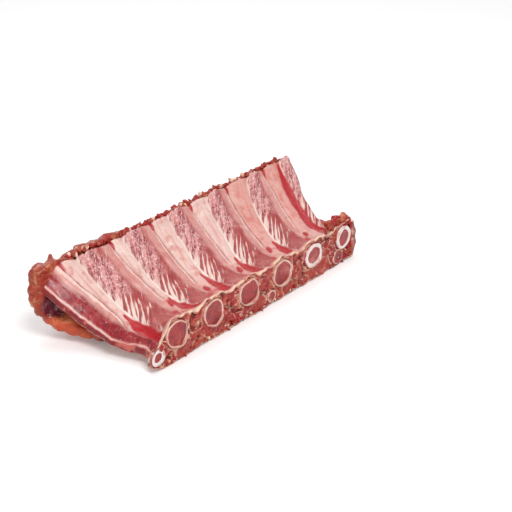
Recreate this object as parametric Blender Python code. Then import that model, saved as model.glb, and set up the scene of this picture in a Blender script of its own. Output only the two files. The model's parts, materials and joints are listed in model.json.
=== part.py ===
"""Rack of raw pork ribs, bone side up, lying on its own underside.

The rack is a curved slab.  Stations run along its length, one for each rib,
and depth runs from the sawn chine face (0) to the thin edge of rib tips (1).
Metres, +Z up, origin at the middle of the footprint.
"""
import math

import bpy
from mathutils import Vector, noise

MM = 0.001

# Driving dimensions
RIB_COUNT = 6
MIDDLE_STATION = 3.5
PITCH_NEAR = 33.0 * MM
PITCH_FAR = 40.0 * MM
SWEEP = 31.5 * MM
BOW = 6.0 * MM
BOW_SLOPE = 2.8 * MM
BOW_CURVE = 4.3 * MM
DEPTH = 78.0 * MM
LEFT_STATION = 0.56
LEFT_CORNER = 0.46
RIGHT_STATION = 6.68
RIGHT_CORNER = 0.77
RIGHT_FLARE = 0.17
VALLEY_DEPTH = 0.30
VALLEY_HEIGHT = 18.5 * MM
RIM_HEIGHT = 28.0 * MM
FAR_HEIGHT = 45.0 * MM
FAR_POWER = 1.93
NEAR_POWER = 1.6
LEFT_TAPER = 8.0 * MM
CORNER_TAPER = 6.0 * MM
TAPER_REACH = 0.34
TAPER_CORNER_REACH = 0.24
LEFT_LIFT = 4.0 * MM
SLAB_THICKNESS = 13.0 * MM
FLAT_DEPTH = 0.26
MUSCLE_RELIEF = 1.2 * MM
GAP = 0.3 * MM
COVER_GAP = 0.8 * MM

RIB_OFFSET = 7.0 * MM
RIB_WIDTH = 12.5 * MM
RIB_THICKNESS = 7.5 * MM
HEAD_WIDTH = 19.0 * MM
HEAD_HEIGHT = 16.5 * MM
HEAD_CENTRE = 16.8 * MM
HEAD_PITCH = 35.6 * MM
HEAD_START = -94.6 * MM
HEAD_DIP = 3.0 * MM
KNUCKLE_X = -75.0 * MM
KNUCKLE_CENTRE = 8.6 * MM
KNUCKLE_SIZE = 11.0 * MM
RIB_SINK = 2.8 * MM
RIB_VEER = 0.45
RIB_FLATTEN = 0.30
RING_SIDES = 16
CUT_OVERSHOOT = 2.0 * MM

# Short bones of the chine face: name, place along it, height, width, tallness, length
SHORT_BONES = (
    ("rib_head_7", HEAD_START + HEAD_PITCH * RIB_COUNT, 17.5 * MM, 17.0 * MM, 15.5 * MM, 12.0 * MM),
    ("chine_bone_1", 36.0 * MM, 5.0 * MM, 8.5 * MM, 7.0 * MM, 10.0 * MM),
    ("chine_bone_2", 112.0 * MM, 5.4 * MM, 11.0 * MM, 8.0 * MM, 10.0 * MM),
)

COVER_START = 0.42
COVER_FLAT_END = 0.66
COVER_THICKNESS = 8.0 * MM
COVER_LIP = 11.0 * MM
COVER_LEDGE = 1.014
COVER_LEFT = 0.42
COVER_LEFT_INNER = 0.95
COVER_LEFT_RISE = 4.6 * MM
COVER_LEFT_DROP = 9.0 * MM
COVER_ROLL = 5.0 * MM
COVER_SAG = 2.0 * MM
COVER_WAVE = 2.0 * MM
FLAP_STATION = 1.5
FLAP_DEPTH = 0.62
FLAP_CLEARANCE = 1.0 * MM
FLAP_HANG = 14.0 * MM

SHIFT = Vector((36.85 * MM, 44.7 * MM, 0.0))


def smooth(low, high, value):
    """Smooth step from 0 at low to 1 at high."""
    share = min(max((value - low) / (high - low), 0.0), 1.0)
    return share * share * (3.0 - 2.0 * share)


def left_edge(depth):
    """Station of the left cut end, which steps in at the chine corner."""
    return LEFT_STATION + LEFT_CORNER * (1.0 - smooth(0.1, 0.5, depth))


def right_edge(depth):
    """Station of the right cut end, which runs out at the chine corner."""
    corner = RIGHT_CORNER * (1.0 - smooth(0.0, 0.42, depth))
    return RIGHT_STATION + corner + RIGHT_FLARE * smooth(0.6, 0.9, depth)


def lengthwise(station, depth):
    """X of a station at a depth: ribs fan out, lean to the right and bow a little."""
    turn = station - MIDDLE_STATION
    near = turn * PITCH_NEAR
    far = turn * PITCH_FAR + SWEEP
    share = turn / 3.0
    bow = BOW - BOW_SLOPE * share + BOW_CURVE * share * share
    return near + (far - near) * depth + bow * math.sin(math.pi * min(depth, 1.0))


def upper_height(station, depth):
    """Height of the bone side, without the swell of the muscles."""
    if depth > VALLEY_DEPTH:
        climb = (min(depth, 1.0) - VALLEY_DEPTH) / (1.0 - VALLEY_DEPTH)
        height = VALLEY_HEIGHT + (FAR_HEIGHT - VALLEY_HEIGHT) * climb ** FAR_POWER
    else:
        climb = (VALLEY_DEPTH - depth) / VALLEY_DEPTH
        height = VALLEY_HEIGHT + (RIM_HEIGHT - VALLEY_HEIGHT) * climb ** NEAR_POWER
    corner = 1.0 - smooth(0.0, 0.25, depth)
    reach = TAPER_REACH + TAPER_CORNER_REACH * corner
    fall = smooth(left_edge(depth) + reach, left_edge(depth) - 0.05, station)
    return height - (LEFT_TAPER + CORNER_TAPER * corner) * fall


def muscle_swell(station, depth):
    """The muscles swell between the ribs and sink beside them."""
    phase = 2.0 * math.pi * (station - 0.2)
    return -MUSCLE_RELIEF * math.cos(phase) * smooth(0.1, 0.3, depth)


def lower_height(station, depth):
    """Underside of the slab: flat under the chine, then level with the bone side."""
    level = max(upper_height(max(station, 1.1), depth) - SLAB_THICKNESS, 0.0)
    lift = LEFT_LIFT * smooth(left_edge(depth) + 0.3, left_edge(depth), station)
    flat = smooth(FLAT_DEPTH, COVER_START, depth)
    return level * flat + lift * (1.0 - flat)


def slab(name, rows, columns, place, top, bottom):
    """Closed body between two heights over a grid of stations and depths."""
    verts = []
    for height in (top, bottom):
        for row in rows:
            for column in columns:
                x, y = place(row, column)
                verts.append(Vector((x, y, height(row, column))) - SHIFT)
    wide = len(columns)
    sheet = len(rows) * wide
    faces = []
    for i in range(len(rows) - 1):
        for j in range(wide - 1):
            a = i * wide + j
            b = a + wide
            faces.append((a, b, b + 1, a + 1))
            faces.append((sheet + a, sheet + a + 1, sheet + b + 1, sheet + b))
    rim = [i * wide for i in range(len(rows))]
    rim += [(len(rows) - 1) * wide + j for j in range(1, wide)]
    rim += [i * wide + wide - 1 for i in range(len(rows) - 2, -1, -1)]
    rim += list(range(wide - 2, 0, -1))
    for a, b in zip(rim, rim[1:] + rim[:1]):
        faces.append((b, a, sheet + a, sheet + b))
    mesh = bpy.data.meshes.new(name)
    mesh.from_pydata(verts, [], faces)
    mesh.shade_smooth()
    mesh.set_sharp_from_angle(angle=math.radians(40))
    body = bpy.data.objects.new(name, mesh)
    bpy.context.scene.collection.objects.link(body)
    return body


def spread(first, last, count):
    """Evenly spaced values from first to last."""
    return [first + (last - first) * i / (count - 1) for i in range(count)]


def make_slab():
    """Meat of the rack, from the sawn face to the rib tips."""
    def station_at(share, depth):
        return left_edge(depth) + (right_edge(depth) - left_edge(depth)) * share

    def place(share, depth):
        return lengthwise(station_at(share, depth), depth), DEPTH * depth

    def top(share, depth):
        station = station_at(share, depth)
        return upper_height(station, depth) + muscle_swell(station, depth)

    def bottom(share, depth):
        return lower_height(station_at(share, depth), depth)

    depths = spread(0.0, VALLEY_DEPTH, 7) + spread(VALLEY_DEPTH, 1.0, 13)[1:]
    return slab("rib_meat", spread(0.0, 1.0, 57), depths, place, top, bottom)


def make_cover():
    """Outer meat and fat under the slab, showing past the rib tips and at the left corner."""
    depths = spread(COVER_START, 0.99, 12) + [1.007, COVER_LEDGE]
    lip = 1.0 + COVER_LIP / DEPTH
    depths += spread(1.03, lip, 4)

    def ragged(value, size):
        return size * noise.noise(Vector((value * 1.7, 0.3, 4.1)))

    def station_at(share, depth):
        flap = smooth(FLAP_DEPTH, FLAP_DEPTH + 0.15, depth)
        first = COVER_LEFT_INNER + (COVER_LEFT - COVER_LEFT_INNER) * flap
        first += 0.1 * noise.noise(Vector((depth * 6.0, 2.0, 1.0)))
        last = right_edge(min(depth, 1.0)) - 0.08
        return first + (last - first) * share

    def place(share, depth):
        station = station_at(share, depth)
        past = max(depth - COVER_LEDGE, 0.0) / (lip - COVER_LEDGE)
        fade = 1.0 - 0.5 * smooth(1.5, 4.0, station)
        y = min(depth, COVER_LEDGE) * DEPTH + past * (lip - COVER_LEDGE) * DEPTH * fade
        y += past * ragged(station * 2.3, COVER_WAVE) * smooth(1.2, 1.6, station)
        return lengthwise(station, min(depth, 1.0)), y

    def top(share, depth):
        station = station_at(share, depth)
        if depth < 1.01:
            sag = COVER_SAG * smooth(1.5, 1.1, station)
            return lower_height(max(station, left_edge(depth)), depth) - COVER_GAP - sag
        past = (depth - COVER_LEDGE) / (lip - COVER_LEDGE)
        level = FAR_HEIGHT - MM + COVER_LEFT_RISE * smooth(3.2, 1.4, station)
        level += ragged(station * 3.1 + 7.0, COVER_WAVE)
        return level - COVER_ROLL * past ** 2 - COVER_LEFT_DROP * smooth(1.0, 0.3, station)

    def bottom(share, depth):
        station = station_at(share, depth)
        rise = smooth(COVER_FLAT_END - 0.05, 1.0, depth)
        under = upper_height(station, 1.0) - SLAB_THICKNESS - COVER_THICKNESS
        corner = smooth(FLAP_STATION, 0.8, station)
        hang = FLAP_CLEARANCE + FLAP_HANG * smooth(0.9, lip, depth)
        return rise * (under * (1.0 - corner) + hang * corner)

    return slab("outer_cover", spread(0.0, 1.0, 31), depths, place, top, bottom)


def sweep(name, rings, sides, widen):
    """Closed tube of oval rings: each ring is a centre, a width, a height and a lean."""
    verts = []
    for centre, width, height, lean in rings:
        normal = Vector((0.0, -math.sin(lean), math.cos(lean)))
        for i in range(sides):
            angle = 2.0 * math.pi * i / sides
            across = Vector((1.0, 0.0, 0.0)) * math.cos(angle) * (width / 2.0 + widen)
            up = normal * math.sin(angle) * (height / 2.0 + widen)
            verts.append(centre + across + up - SHIFT)
    faces = [tuple(range(sides))]
    for r in range(len(rings) - 1):
        for i in range(sides):
            a = r * sides + i
            b = r * sides + (i + 1) % sides
            faces.append((b, a, a + sides, b + sides))
    faces.append(tuple(reversed(range((len(rings) - 1) * sides, len(rings) * sides))))
    mesh = bpy.data.meshes.new(name)
    mesh.from_pydata(verts, [], faces)
    mesh.shade_smooth()
    mesh.set_sharp_from_angle(angle=math.radians(50))
    body = bpy.data.objects.new(name, mesh)
    bpy.context.scene.collection.objects.link(body)
    return body


def rib_ring(number, depth):
    """One oval of a rib: round at the head, flat and set in the surface further out."""
    flat = smooth(0.0, RIB_FLATTEN, depth)
    knuckle = number == 1
    head_x = KNUCKLE_X if knuckle else HEAD_START + HEAD_PITCH * (number - 1)
    head_z = KNUCKLE_CENTRE if knuckle else HEAD_CENTRE
    head_width = KNUCKLE_SIZE if knuckle else HEAD_WIDTH
    head_height = KNUCKLE_SIZE if knuckle else HEAD_HEIGHT
    veer = smooth(0.0, RIB_VEER, depth)
    x = head_x + (lengthwise(number, depth) + RIB_OFFSET - head_x) * veer
    surface = upper_height(max(number + 0.2, 1.3), depth) - RIB_SINK
    dip = HEAD_DIP * math.sin(math.pi * min(depth / 0.36, 1.0))
    z = head_z + (surface - head_z) * flat - dip
    width = head_width + (RIB_WIDTH - head_width) * flat
    height = head_height + (RIB_THICKNESS - head_height) * flat
    lean = math.atan2(
        upper_height(3.0, min(depth + 0.03, 1.0)) - upper_height(3.0, max(depth - 0.03, 0.0)),
        0.06 * DEPTH) * flat * (1.0 - smooth(0.88, 1.0, depth))
    return Vector((x, DEPTH * depth, z)), width, height, lean


def rib_rings(number):
    """Ovals of a rib from its sawn head towards its tip."""
    return [rib_ring(number, depth) for depth in spread(0.0, 1.0, 15)]


def short_rings(x, height, width, tall, length):
    """Ovals of a short bone that shows only as a sawn round on the chine face."""
    rings = []
    for depth, size in ((0.0, 1.0), (0.6 * length, 1.0), (length, 0.6)):
        rings.append((Vector((x, depth, height)), width * size, tall * size, 0.0))
    return rings


def material(name, colour, roughness):
    """Principled finish of one kind of tissue."""
    finish = bpy.data.materials.new(name)
    finish.use_nodes = True
    shader = finish.node_tree.nodes["Principled BSDF"]
    shader.inputs["Base Color"].default_value = (*colour, 1.0)
    shader.inputs["Roughness"].default_value = roughness
    shader.inputs["Metallic"].default_value = 0.0
    return finish


def cut(body, cutter):
    """Cut a cutter out of a body and keep the cutter as a hidden guide."""
    cutter.hide_render = True
    cutter.display_type = "WIRE"
    channel = body.modifiers.new(cutter.name, "BOOLEAN")
    channel.operation = "DIFFERENCE"
    channel.solver = "EXACT"
    channel.object = cutter


def stretched(rings):
    """The same ovals with the two ends pushed out, so that a cutter passes right through."""
    first = (rings[0][0] - Vector((0.0, CUT_OVERSHOOT, 0.0)), *rings[0][1:])
    last_centre, width, tall, lean = rings[-1]
    reach = Vector((0.0, math.cos(lean), math.sin(lean))) * CUT_OVERSHOOT
    return [first] + rings + [(last_centre + reach, width, tall, lean)]


def main():
    for item in list(bpy.data.objects):
        bpy.data.objects.remove(item, do_unlink=True)
    red = material("meat", (0.42, 0.10, 0.09), 0.4)
    bone = material("bone", (0.70, 0.46, 0.38), 0.45)
    fat = material("cover", (0.52, 0.18, 0.09), 0.4)

    meat = make_slab()
    meat.data.materials.append(red)
    cover = make_cover()
    cover.data.materials.append(fat)

    bones = []
    for number in range(1, RIB_COUNT + 1):
        bones.append((f"rib_bone_{number}", rib_rings(number)))
    for name, x, height, width, tall, length in SHORT_BONES:
        bones.append((name, short_rings(x, height, width, tall, length)))
    for name, rings in bones:
        body = sweep(name, rings, RING_SIDES, 0.0)
        body.data.materials.append(bone)
        ends = stretched(rings)
        if rings[-1][0].y < 0.9 * DEPTH:
            ends = ends[:-1]
        cut(meat, sweep(name + "_channel", ends, RING_SIDES, GAP))


main()
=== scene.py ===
"""Rack of raw pork ribs: the finish of its meat, bones and outer cover.

Laid out as a Blender add-on and run as a script.  Shapes are worked out in
millimetres from the rack's own corner of the chine face, then placed in the frame.
"""
import json
import math
from collections import defaultdict
from types import SimpleNamespace

import bmesh
import bpy
import numpy as np
from bpy.props import FloatProperty, FloatVectorProperty, IntProperty, PointerProperty
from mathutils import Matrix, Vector, noise

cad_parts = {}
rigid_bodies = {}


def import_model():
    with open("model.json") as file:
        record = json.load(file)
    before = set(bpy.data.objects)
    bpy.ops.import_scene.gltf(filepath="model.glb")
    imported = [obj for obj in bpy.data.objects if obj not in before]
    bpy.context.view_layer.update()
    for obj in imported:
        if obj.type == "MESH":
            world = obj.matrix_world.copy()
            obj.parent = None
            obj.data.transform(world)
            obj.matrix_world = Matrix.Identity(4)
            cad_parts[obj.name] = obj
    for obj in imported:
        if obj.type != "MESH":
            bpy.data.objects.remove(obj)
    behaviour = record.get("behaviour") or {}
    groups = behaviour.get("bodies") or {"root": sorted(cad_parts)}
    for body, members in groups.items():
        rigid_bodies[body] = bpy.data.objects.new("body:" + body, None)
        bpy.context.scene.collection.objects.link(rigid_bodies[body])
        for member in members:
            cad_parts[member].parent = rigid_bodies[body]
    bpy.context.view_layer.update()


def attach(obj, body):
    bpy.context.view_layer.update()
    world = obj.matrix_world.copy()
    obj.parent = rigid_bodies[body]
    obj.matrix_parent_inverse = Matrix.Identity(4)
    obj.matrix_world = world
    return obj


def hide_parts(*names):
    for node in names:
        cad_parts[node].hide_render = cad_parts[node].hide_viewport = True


bl_info = {
    "name": "Rack of ribs",
    "version": (1, 0, 0),
    "blender": (4, 5, 0),
    "location": "3D View > Sidebar > Ribs",
    "description": "Builds a rack of raw ribs with its marbling, bones and outer cover",
    "category": "Object",
}

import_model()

# Driving sizes of the slab, in millimetres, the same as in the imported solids
MM = 0.001
RIB_COUNT = 6
MIDDLE_STATION = 3.5
PITCH_NEAR = 33.0
PITCH_FAR = 40.0
SWEEP = 31.5
BOW = 6.0
BOW_SLOPE = 2.8
BOW_CURVE = 4.3
DEPTH = 78.0
LEFT_STATION = 0.56
LEFT_CORNER = 0.46
RIGHT_STATION = 6.68
RIGHT_CORNER = 0.77
RIGHT_FLARE = 0.17
VALLEY_DEPTH = 0.30
VALLEY_HEIGHT = 18.5
RIM_HEIGHT = 28.0
FAR_HEIGHT = 45.0
FAR_POWER = 1.93
NEAR_POWER = 1.6
LEFT_TAPER = 8.0
CORNER_TAPER = 6.0
TAPER_REACH = 0.34
TAPER_CORNER_REACH = 0.24
LEFT_LIFT = 4.0
SLAB_THICKNESS = 13.0
FLOOR_GAP = 0.05
MERGE_GAP = 0.05

# Places of the sawn bones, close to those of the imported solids
HEAD_PITCH = 35.6
HEAD_START = -94.6
KNUCKLE_PLACE = (-76.5, 0.8, 8.6)
HEAD_HEIGHT = 17.0
RIB_SINK = 4.4
HEAD_DIP = 3.0
BONE_SIDES = 44

# From the rack's own corner to the origin of the frame
SHIFT = np.array([36.85, 44.7, 0.0])

# Rows of points up the sawn face, down the rib tips and across each cut end
FACE_ROWS = 50
EDGE_ROWS = 8
CAP_ROWS = 5

# Each rib: offset of its dark edge, and width of its bare bone in the middle, far and near
RIB_BANDS = (
    (-2.5, 5.8, 7.0, 8.0),
    (1.0, 4.0, 7.0, 14.0),
    (-0.6, 11.0, 6.0, 4.0),
    (0.5, 8.4, 9.5, 5.0),
    (-0.8, 12.0, 11.5, 5.0),
    (1.6, 15.0, 5.0, 9.0),
)
RING_WIDTHS = (0.40, 0.09, 0.08, 0.08, 0.09, 0.24)
HEAD_RADII = (5.4, 9.4, 9.4, 9.6, 9.6, 9.0)

# Short bones: node, place along the face, height, radius, squash, ring width and seed
SHORT_BONES = (
    ("rib_head_7", HEAD_START + HEAD_PITCH * RIB_COUNT, 17.5, 8.2, 0.96, 0.30, 3.1),
    ("chine_bone_1", 36.0, 5.2, 4.4, 0.90, 0.16, 4.4),
    ("chine_bone_2", 112.0, 6.2, 5.6, 0.85, 0.10, 5.2),
)


def linear(red, green, blue):
    """Linear colour from display values of 0 to 255."""
    values = []
    for part in (red, green, blue):
        share = part / 255.0
        values.append(share / 12.92 if share <= 0.04045 else ((share + 0.055) / 1.055) ** 2.4)
    return (*values, 1.0)


def tint(name, description, red, green, blue):
    """Colour property whose default is given in display values."""
    return FloatVectorProperty(name=name, description=description, subtype="COLOR", size=4,
                               min=0.0, max=1.0, default=linear(red, green, blue))


# Fixed tones that shade the tissues -----------------------------------------

WHITE = linear(255, 255, 255)
FIBRE = linear(200, 110, 102)
VEIL = linear(208, 138, 132)
WET_PINK = linear(210, 140, 136)
MEMBRANE_DARK = linear(204, 128, 120)
MEMBRANE_PALE = linear(234, 200, 188)
MEMBRANE_RED = linear(198, 106, 98)
BAND_NEAR = linear(204, 116, 104)
BAND_STAIN = linear(190, 78, 74)
BAND_ORANGE = linear(200, 66, 44)
# Pale ridge colour: a painted highlight beside each fold, and the real pale band and cream line by
# the left strip
RIDGE_PALE_AND_HIGHLIGHT = linear(240, 212, 202)
STRIP_DARK = linear(108, 20, 34)
STRIP_PALE = linear(184, 82, 78)
BRINK_PALE = linear(222, 168, 160)
SAWN_DARK = linear(136, 22, 28)
SAWN_PALE = linear(206, 104, 84)
SAWN_BROWN = linear(186, 84, 60)
LOBE_FAT = linear(238, 196, 168)
TISSUE_DARK = linear(148, 50, 44)
TISSUE_PALE = linear(208, 126, 106)
PIT_RED = linear(118, 14, 22)
SEAM_FAT = linear(236, 196, 164)
RIM_FAT = linear(238, 204, 174)
SIDE_TONES = (linear(136, 34, 40), linear(196, 100, 90))
TIP_TONES = (linear(178, 66, 52), linear(228, 186, 154))
UNDER_TONES = (linear(178, 78, 66), linear(228, 186, 160))
MARROW_DARK = linear(124, 30, 38)
MARROW_PALE = linear(200, 116, 104)
PORE_DARK = linear(104, 28, 36)
RING_DARK = linear(216, 148, 134)
RING_PALE = linear(246, 232, 224)
RING_SKIN = linear(202, 118, 98)
COVER_DARK = linear(150, 46, 38)
COVER_PALE = linear(206, 120, 84)
COVER_FAT = linear(230, 178, 136)
CREASE_DARK = linear(130, 34, 30)
FLAP_DARK = linear(190, 74, 46)
FLAP_PALE = linear(236, 158, 108)
# Pocket: raw meat in painted shade, with painted highlights
POCKET_SHADE = linear(92, 22, 38)
POCKET_SHADE_DARK = linear(56, 10, 22)
POCKET_SHADE_PALE = linear(128, 50, 66)
POCKET_HIGHLIGHT = linear(208, 158, 164)
SCRAP_DARK = linear(160, 40, 40)
SCRAP_PALE = linear(228, 150, 110)
SCRAP_FAT = linear(238, 204, 180)


# Settings --------------------------------------------------------------------

class RibsShape(bpy.types.PropertyGroup):
    """Sizes of the surface detail."""

    columns: IntProperty(name="Columns", description="Points along the rack", default=360,
                         min=60, max=400)
    rows: IntProperty(name="Rows", description="Points from the chine to the rib tips",
                      default=104, min=40, max=110)
    swell: FloatProperty(name="Muscle swell", description="Rise of the muscle between ribs",
                         default=2.0 * MM, unit="LENGTH", subtype="DISTANCE")
    rib_rise: FloatProperty(name="Rib rise", description="Rise of a bare rib over its grooves",
                            default=1.1 * MM, unit="LENGTH", subtype="DISTANCE")
    groove: FloatProperty(name="Groove", description="Depth of the bloody groove by the chine",
                          default=1.6 * MM, unit="LENGTH", subtype="DISTANCE")
    voxel: FloatProperty(name="Cover grain", description="Size of the outer cover's mesh cells",
                         default=0.85 * MM, unit="LENGTH", subtype="DISTANCE")
    scrap: FloatProperty(name="Scrap size", description="Half length of a ragged scrap of meat",
                         default=1.5 * MM, unit="LENGTH", subtype="DISTANCE")


class RibsColours(bpy.types.PropertyGroup):
    """Colours of the tissues."""

    muscle: tint("Muscle", "Red of the rib muscles", 158, 40, 40)
    muscle_dark: tint("Dark muscle", "Deeper red inside the muscles", 142, 36, 42)
    muscle_pale: tint("Pale muscle", "Lighter red of thin muscle", 206, 116, 106)
    fat: tint("Fat", "Cream of the fat lines and flames", 240, 220, 208)
    band: tint("Bone skin", "Pink beige skin over a rib", 226, 190, 181)
    band_warm: tint("Warm bone skin", "Pinker skin near the chine", 206, 134, 124)
    band_pale: tint("Pale bone skin", "Palest skin over a rib", 238, 216, 206)
    # Blood: real blood, and painted shade in the grooves beside the bare bone
    membrane: tint("Membrane", "Smooth skin beside the muscle", 220, 164, 156)
    # Dark line: painted shade in the fold at the left of each rib
    blood_and_shade: tint("Blood", "Blood in the grooves", 176, 18, 30)
    line: tint("Dark line", "Thin dark line along a rib", 104, 48, 46)
    # Wet purple: the thin muscle's purple, with painted shade between the wet highlights
    wet_purple_and_shade: tint("Wet purple", "Dark wet spots of the thin muscle", 142, 40, 56)
    # Wet white: painted highlights on the wet thin muscle and the left strip
    glint: tint("Wet white", "Pale wet spots of the thin muscle", 244, 222, 216)
    strip: tint("Strip", "Raw strip along the left end", 146, 22, 32)
    sawn: tint("Sawn meat", "Meat of the sawn chine face", 160, 28, 32)
    tissue: tint("Tissue", "Brown pink tissue between the heads", 168, 52, 44)
    ring: tint("Bone ring", "Pale wall of a sawn bone", 228, 186, 170)
    ring_white: tint("White ring", "Whitest wall of a sawn bone", 240, 228, 224)
    marrow: tint("Marrow", "Porous marrow", 166, 48, 48)
    cover: tint("Outer cover", "Orange brown outer meat", 158, 54, 32)
    flap: tint("Flap", "Smooth orange flap of the corner", 198, 82, 46)


class RibsStage(bpy.types.PropertyGroup):
    """Lamps and camera."""

    key: FloatProperty(name="Key lamp", description="Power of the key lamp", default=12.0,
                       unit="POWER")
    top: FloatProperty(name="Top lamp", description="Power of the top lamp", default=6.5,
                       unit="POWER")
    fill: FloatProperty(name="Room light", description="Strength of the white room light",
                        default=0.45, min=0.0)
    lens: FloatProperty(name="Lens", description="Focal length in millimetres", default=111.2,
                        unit="CAMERA")
    distance: FloatProperty(name="Distance", description="From the chine corner to the camera",
                            default=0.96, unit="LENGTH", subtype="DISTANCE")


# Shape of the rack ---------------------------------------------------------

def smooth(low, high, value):
    """Smooth step from 0 at low to 1 at high."""
    share = np.clip((value - low) / (high - low), 0.0, 1.0)
    return share * share * (3.0 - 2.0 * share)


def bump(value, centre, width):
    """Soft hill of height 1 around a centre."""
    return np.exp(-((value - centre) / width) ** 2)


def cloud(points, size, seed=0.0, octaves=2):
    """Smooth noise, about -1 to 1, at points in millimetres."""
    offset = Vector((seed * 7.3, seed * 3.1, seed * 5.7))
    flat = np.asarray(points).reshape(-1, 3) / size
    values = [noise.fractal(Vector(p) + offset, 1.0, 2.0, octaves) for p in flat]
    return np.array(values).reshape(np.asarray(points).shape[:-1])


def on_axis(values, axis=0):
    """Points along one axis, zero on the others."""
    points = np.zeros((*np.shape(values), 3))
    points[..., axis] = values
    return points


def left_edge(depth):
    """Station of the left cut end, which steps in at the chine corner."""
    return LEFT_STATION + LEFT_CORNER * (1.0 - smooth(0.1, 0.5, depth))


def right_edge(depth):
    """Station of the right cut end, which runs out at the chine corner."""
    corner = RIGHT_CORNER * (1.0 - smooth(0.0, 0.42, depth))
    return RIGHT_STATION + corner + RIGHT_FLARE * smooth(0.6, 0.9, depth)


def lengthwise(station, depth):
    """X of a station at a depth: ribs fan out, lean to the right and bow a little."""
    turn = station - MIDDLE_STATION
    share = turn / 3.0
    bow = BOW - BOW_SLOPE * share + BOW_CURVE * share * share
    fan = (turn * (PITCH_FAR - PITCH_NEAR) + SWEEP) * depth
    return turn * PITCH_NEAR + fan + bow * np.sin(np.pi * np.minimum(depth, 1.0))


def upper_height(station, depth):
    """Height of the bone side, without the swell of the muscles."""
    climb = np.clip((depth - VALLEY_DEPTH) / (1.0 - VALLEY_DEPTH), 0.0, 1.0)
    near = np.clip((VALLEY_DEPTH - depth) / VALLEY_DEPTH, 0.0, 1.0)
    height = VALLEY_HEIGHT + (FAR_HEIGHT - VALLEY_HEIGHT) * climb ** FAR_POWER
    height = height + (RIM_HEIGHT - VALLEY_HEIGHT) * near ** NEAR_POWER
    corner = 1.0 - smooth(0.0, 0.25, depth)
    reach = TAPER_REACH + TAPER_CORNER_REACH * corner
    fall = smooth(left_edge(depth) + reach, left_edge(depth) - 0.05, station)
    return height - (LEFT_TAPER + CORNER_TAPER * corner) * fall


def lower_height(station, depth):
    """Underside of the slab: flat under the chine, then level with the bone side."""
    level = np.maximum(upper_height(np.maximum(station, 1.1), depth) - SLAB_THICKNESS, 0.0)
    lift = LEFT_LIFT * smooth(left_edge(depth) + 0.3, left_edge(depth), station)
    flat = smooth(0.26, 0.42, depth)
    return level * flat + lift * (1.0 - flat)


def rib_edge(rib, depth):
    """X of the dark edge at the left of a rib."""
    offset = RIB_BANDS[rib - 1][0] if 1 <= rib <= RIB_COUNT else 0.0
    return lengthwise(float(rib), depth) + offset + 0.5 * np.sin(depth * 9.0 + rib * 2.1)


def bare_width(rib, depth):
    """Width of bare bone right of a rib's dark edge: widest at both ends of the rib."""
    middle, far, near = RIB_BANDS[min(max(rib, 1), RIB_COUNT) - 1][1:]
    outer = np.clip((depth - 0.5) / 0.5, 0.0, 1.0) ** 1.5
    inner = np.clip((0.5 - depth) / 0.5, 0.0, 1.0) ** 1.5
    return middle + far * outer + near * inner + 0.4 * np.sin(depth * 15.0 + rib)


def rib_lanes(depth, x):
    """Where points lie from the rib at their left: distance, bare width, spacing and number."""
    at = SimpleNamespace(distance=np.full(x.shape, 1e3), width=np.full(x.shape, 10.0),
                         reach=np.full(x.shape, 36.0), number=np.zeros(x.shape))
    for rib in range(0, RIB_COUNT + 2):
        edge = rib_edge(rib, depth)
        beyond = rib_edge(rib + 1, depth)
        inside = (x >= edge) & (x < beyond)
        at.distance = np.where(inside, x - edge, at.distance)
        at.width = np.where(inside, bare_width(rib, depth), at.width)
        at.reach = np.where(inside, beyond - edge, at.reach)
        at.number = np.where(inside, rib, at.number)
    at.muscle = np.clip((at.distance - at.width) / (at.reach - at.width), 0.0, 1.0)
    return at


def make_object(name, verts, faces, edges=()):
    """Object at the origin from points in the rack's millimetres."""
    mesh = bpy.data.meshes.new(name)
    mesh.from_pydata(((np.asarray(verts) - SHIFT) * MM).tolist(), list(edges), faces)
    mesh.shade_smooth()
    piece = bpy.data.objects.new(name, mesh)
    bpy.context.scene.collection.objects.link(piece)
    return piece


def add_mask(piece, name, values, kind="FLOAT"):
    """Named value on every point of a piece."""
    layer = piece.data.attributes.new(name, kind, "POINT")
    key = "value" if kind == "FLOAT" else "vector"
    layer.data.foreach_set(key, np.ascontiguousarray(values, dtype=np.float32).ravel())


def read_points(mesh, key="co"):
    """Points or normals of a mesh, three numbers a row."""
    values = np.empty(len(mesh.vertices) * 3)
    mesh.vertices.foreach_get(key, values)
    return values.reshape(-1, 3)


def write_points(mesh, points):
    """Move the points of a mesh, none of them below the floor."""
    points[:, 2] = np.maximum(points[:, 2], FLOOR_GAP * MM)
    mesh.vertices.foreach_set("co", points.ravel())


# Slab of rib meat ------------------------------------------------------------

def rib_lines(at, depth, wobble, clear):
    """Dark folds, pale ridges and cream fat lines that run along the ribs; the folds take painted
    shade and the ridges a painted highlight.
    """
    fold = np.maximum(bump(at.distance, 0.1, 0.45), bump(at.distance, at.reach, 0.35))
    strength = 0.55 + 0.45 * np.sin(at.number * 2.6 + 1.0)
    fold = fold * smooth(0.34, 0.50, depth) * clear * np.maximum(strength, 0.35)
    ridge = bump(at.distance, -1.3 + 0.6 * wobble, 0.7)
    ridge = ridge + bump(at.distance, at.reach - 1.3 + 0.6 * wobble, 0.7)
    ridge = ridge * smooth(0.30, 0.45, depth) * smooth(1.0, 0.9, depth) * clear
    hook = smooth(0.42, 0.20, depth)
    cream = bump(at.distance, at.width + 0.3 + 0.4 * hook, 0.7 + 0.6 * hook)
    cream = cream * smooth(0.02, 0.06, depth) * smooth(1.0, 0.72, depth + 0.1 * wobble) * clear
    return fold, ridge, cream


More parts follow.
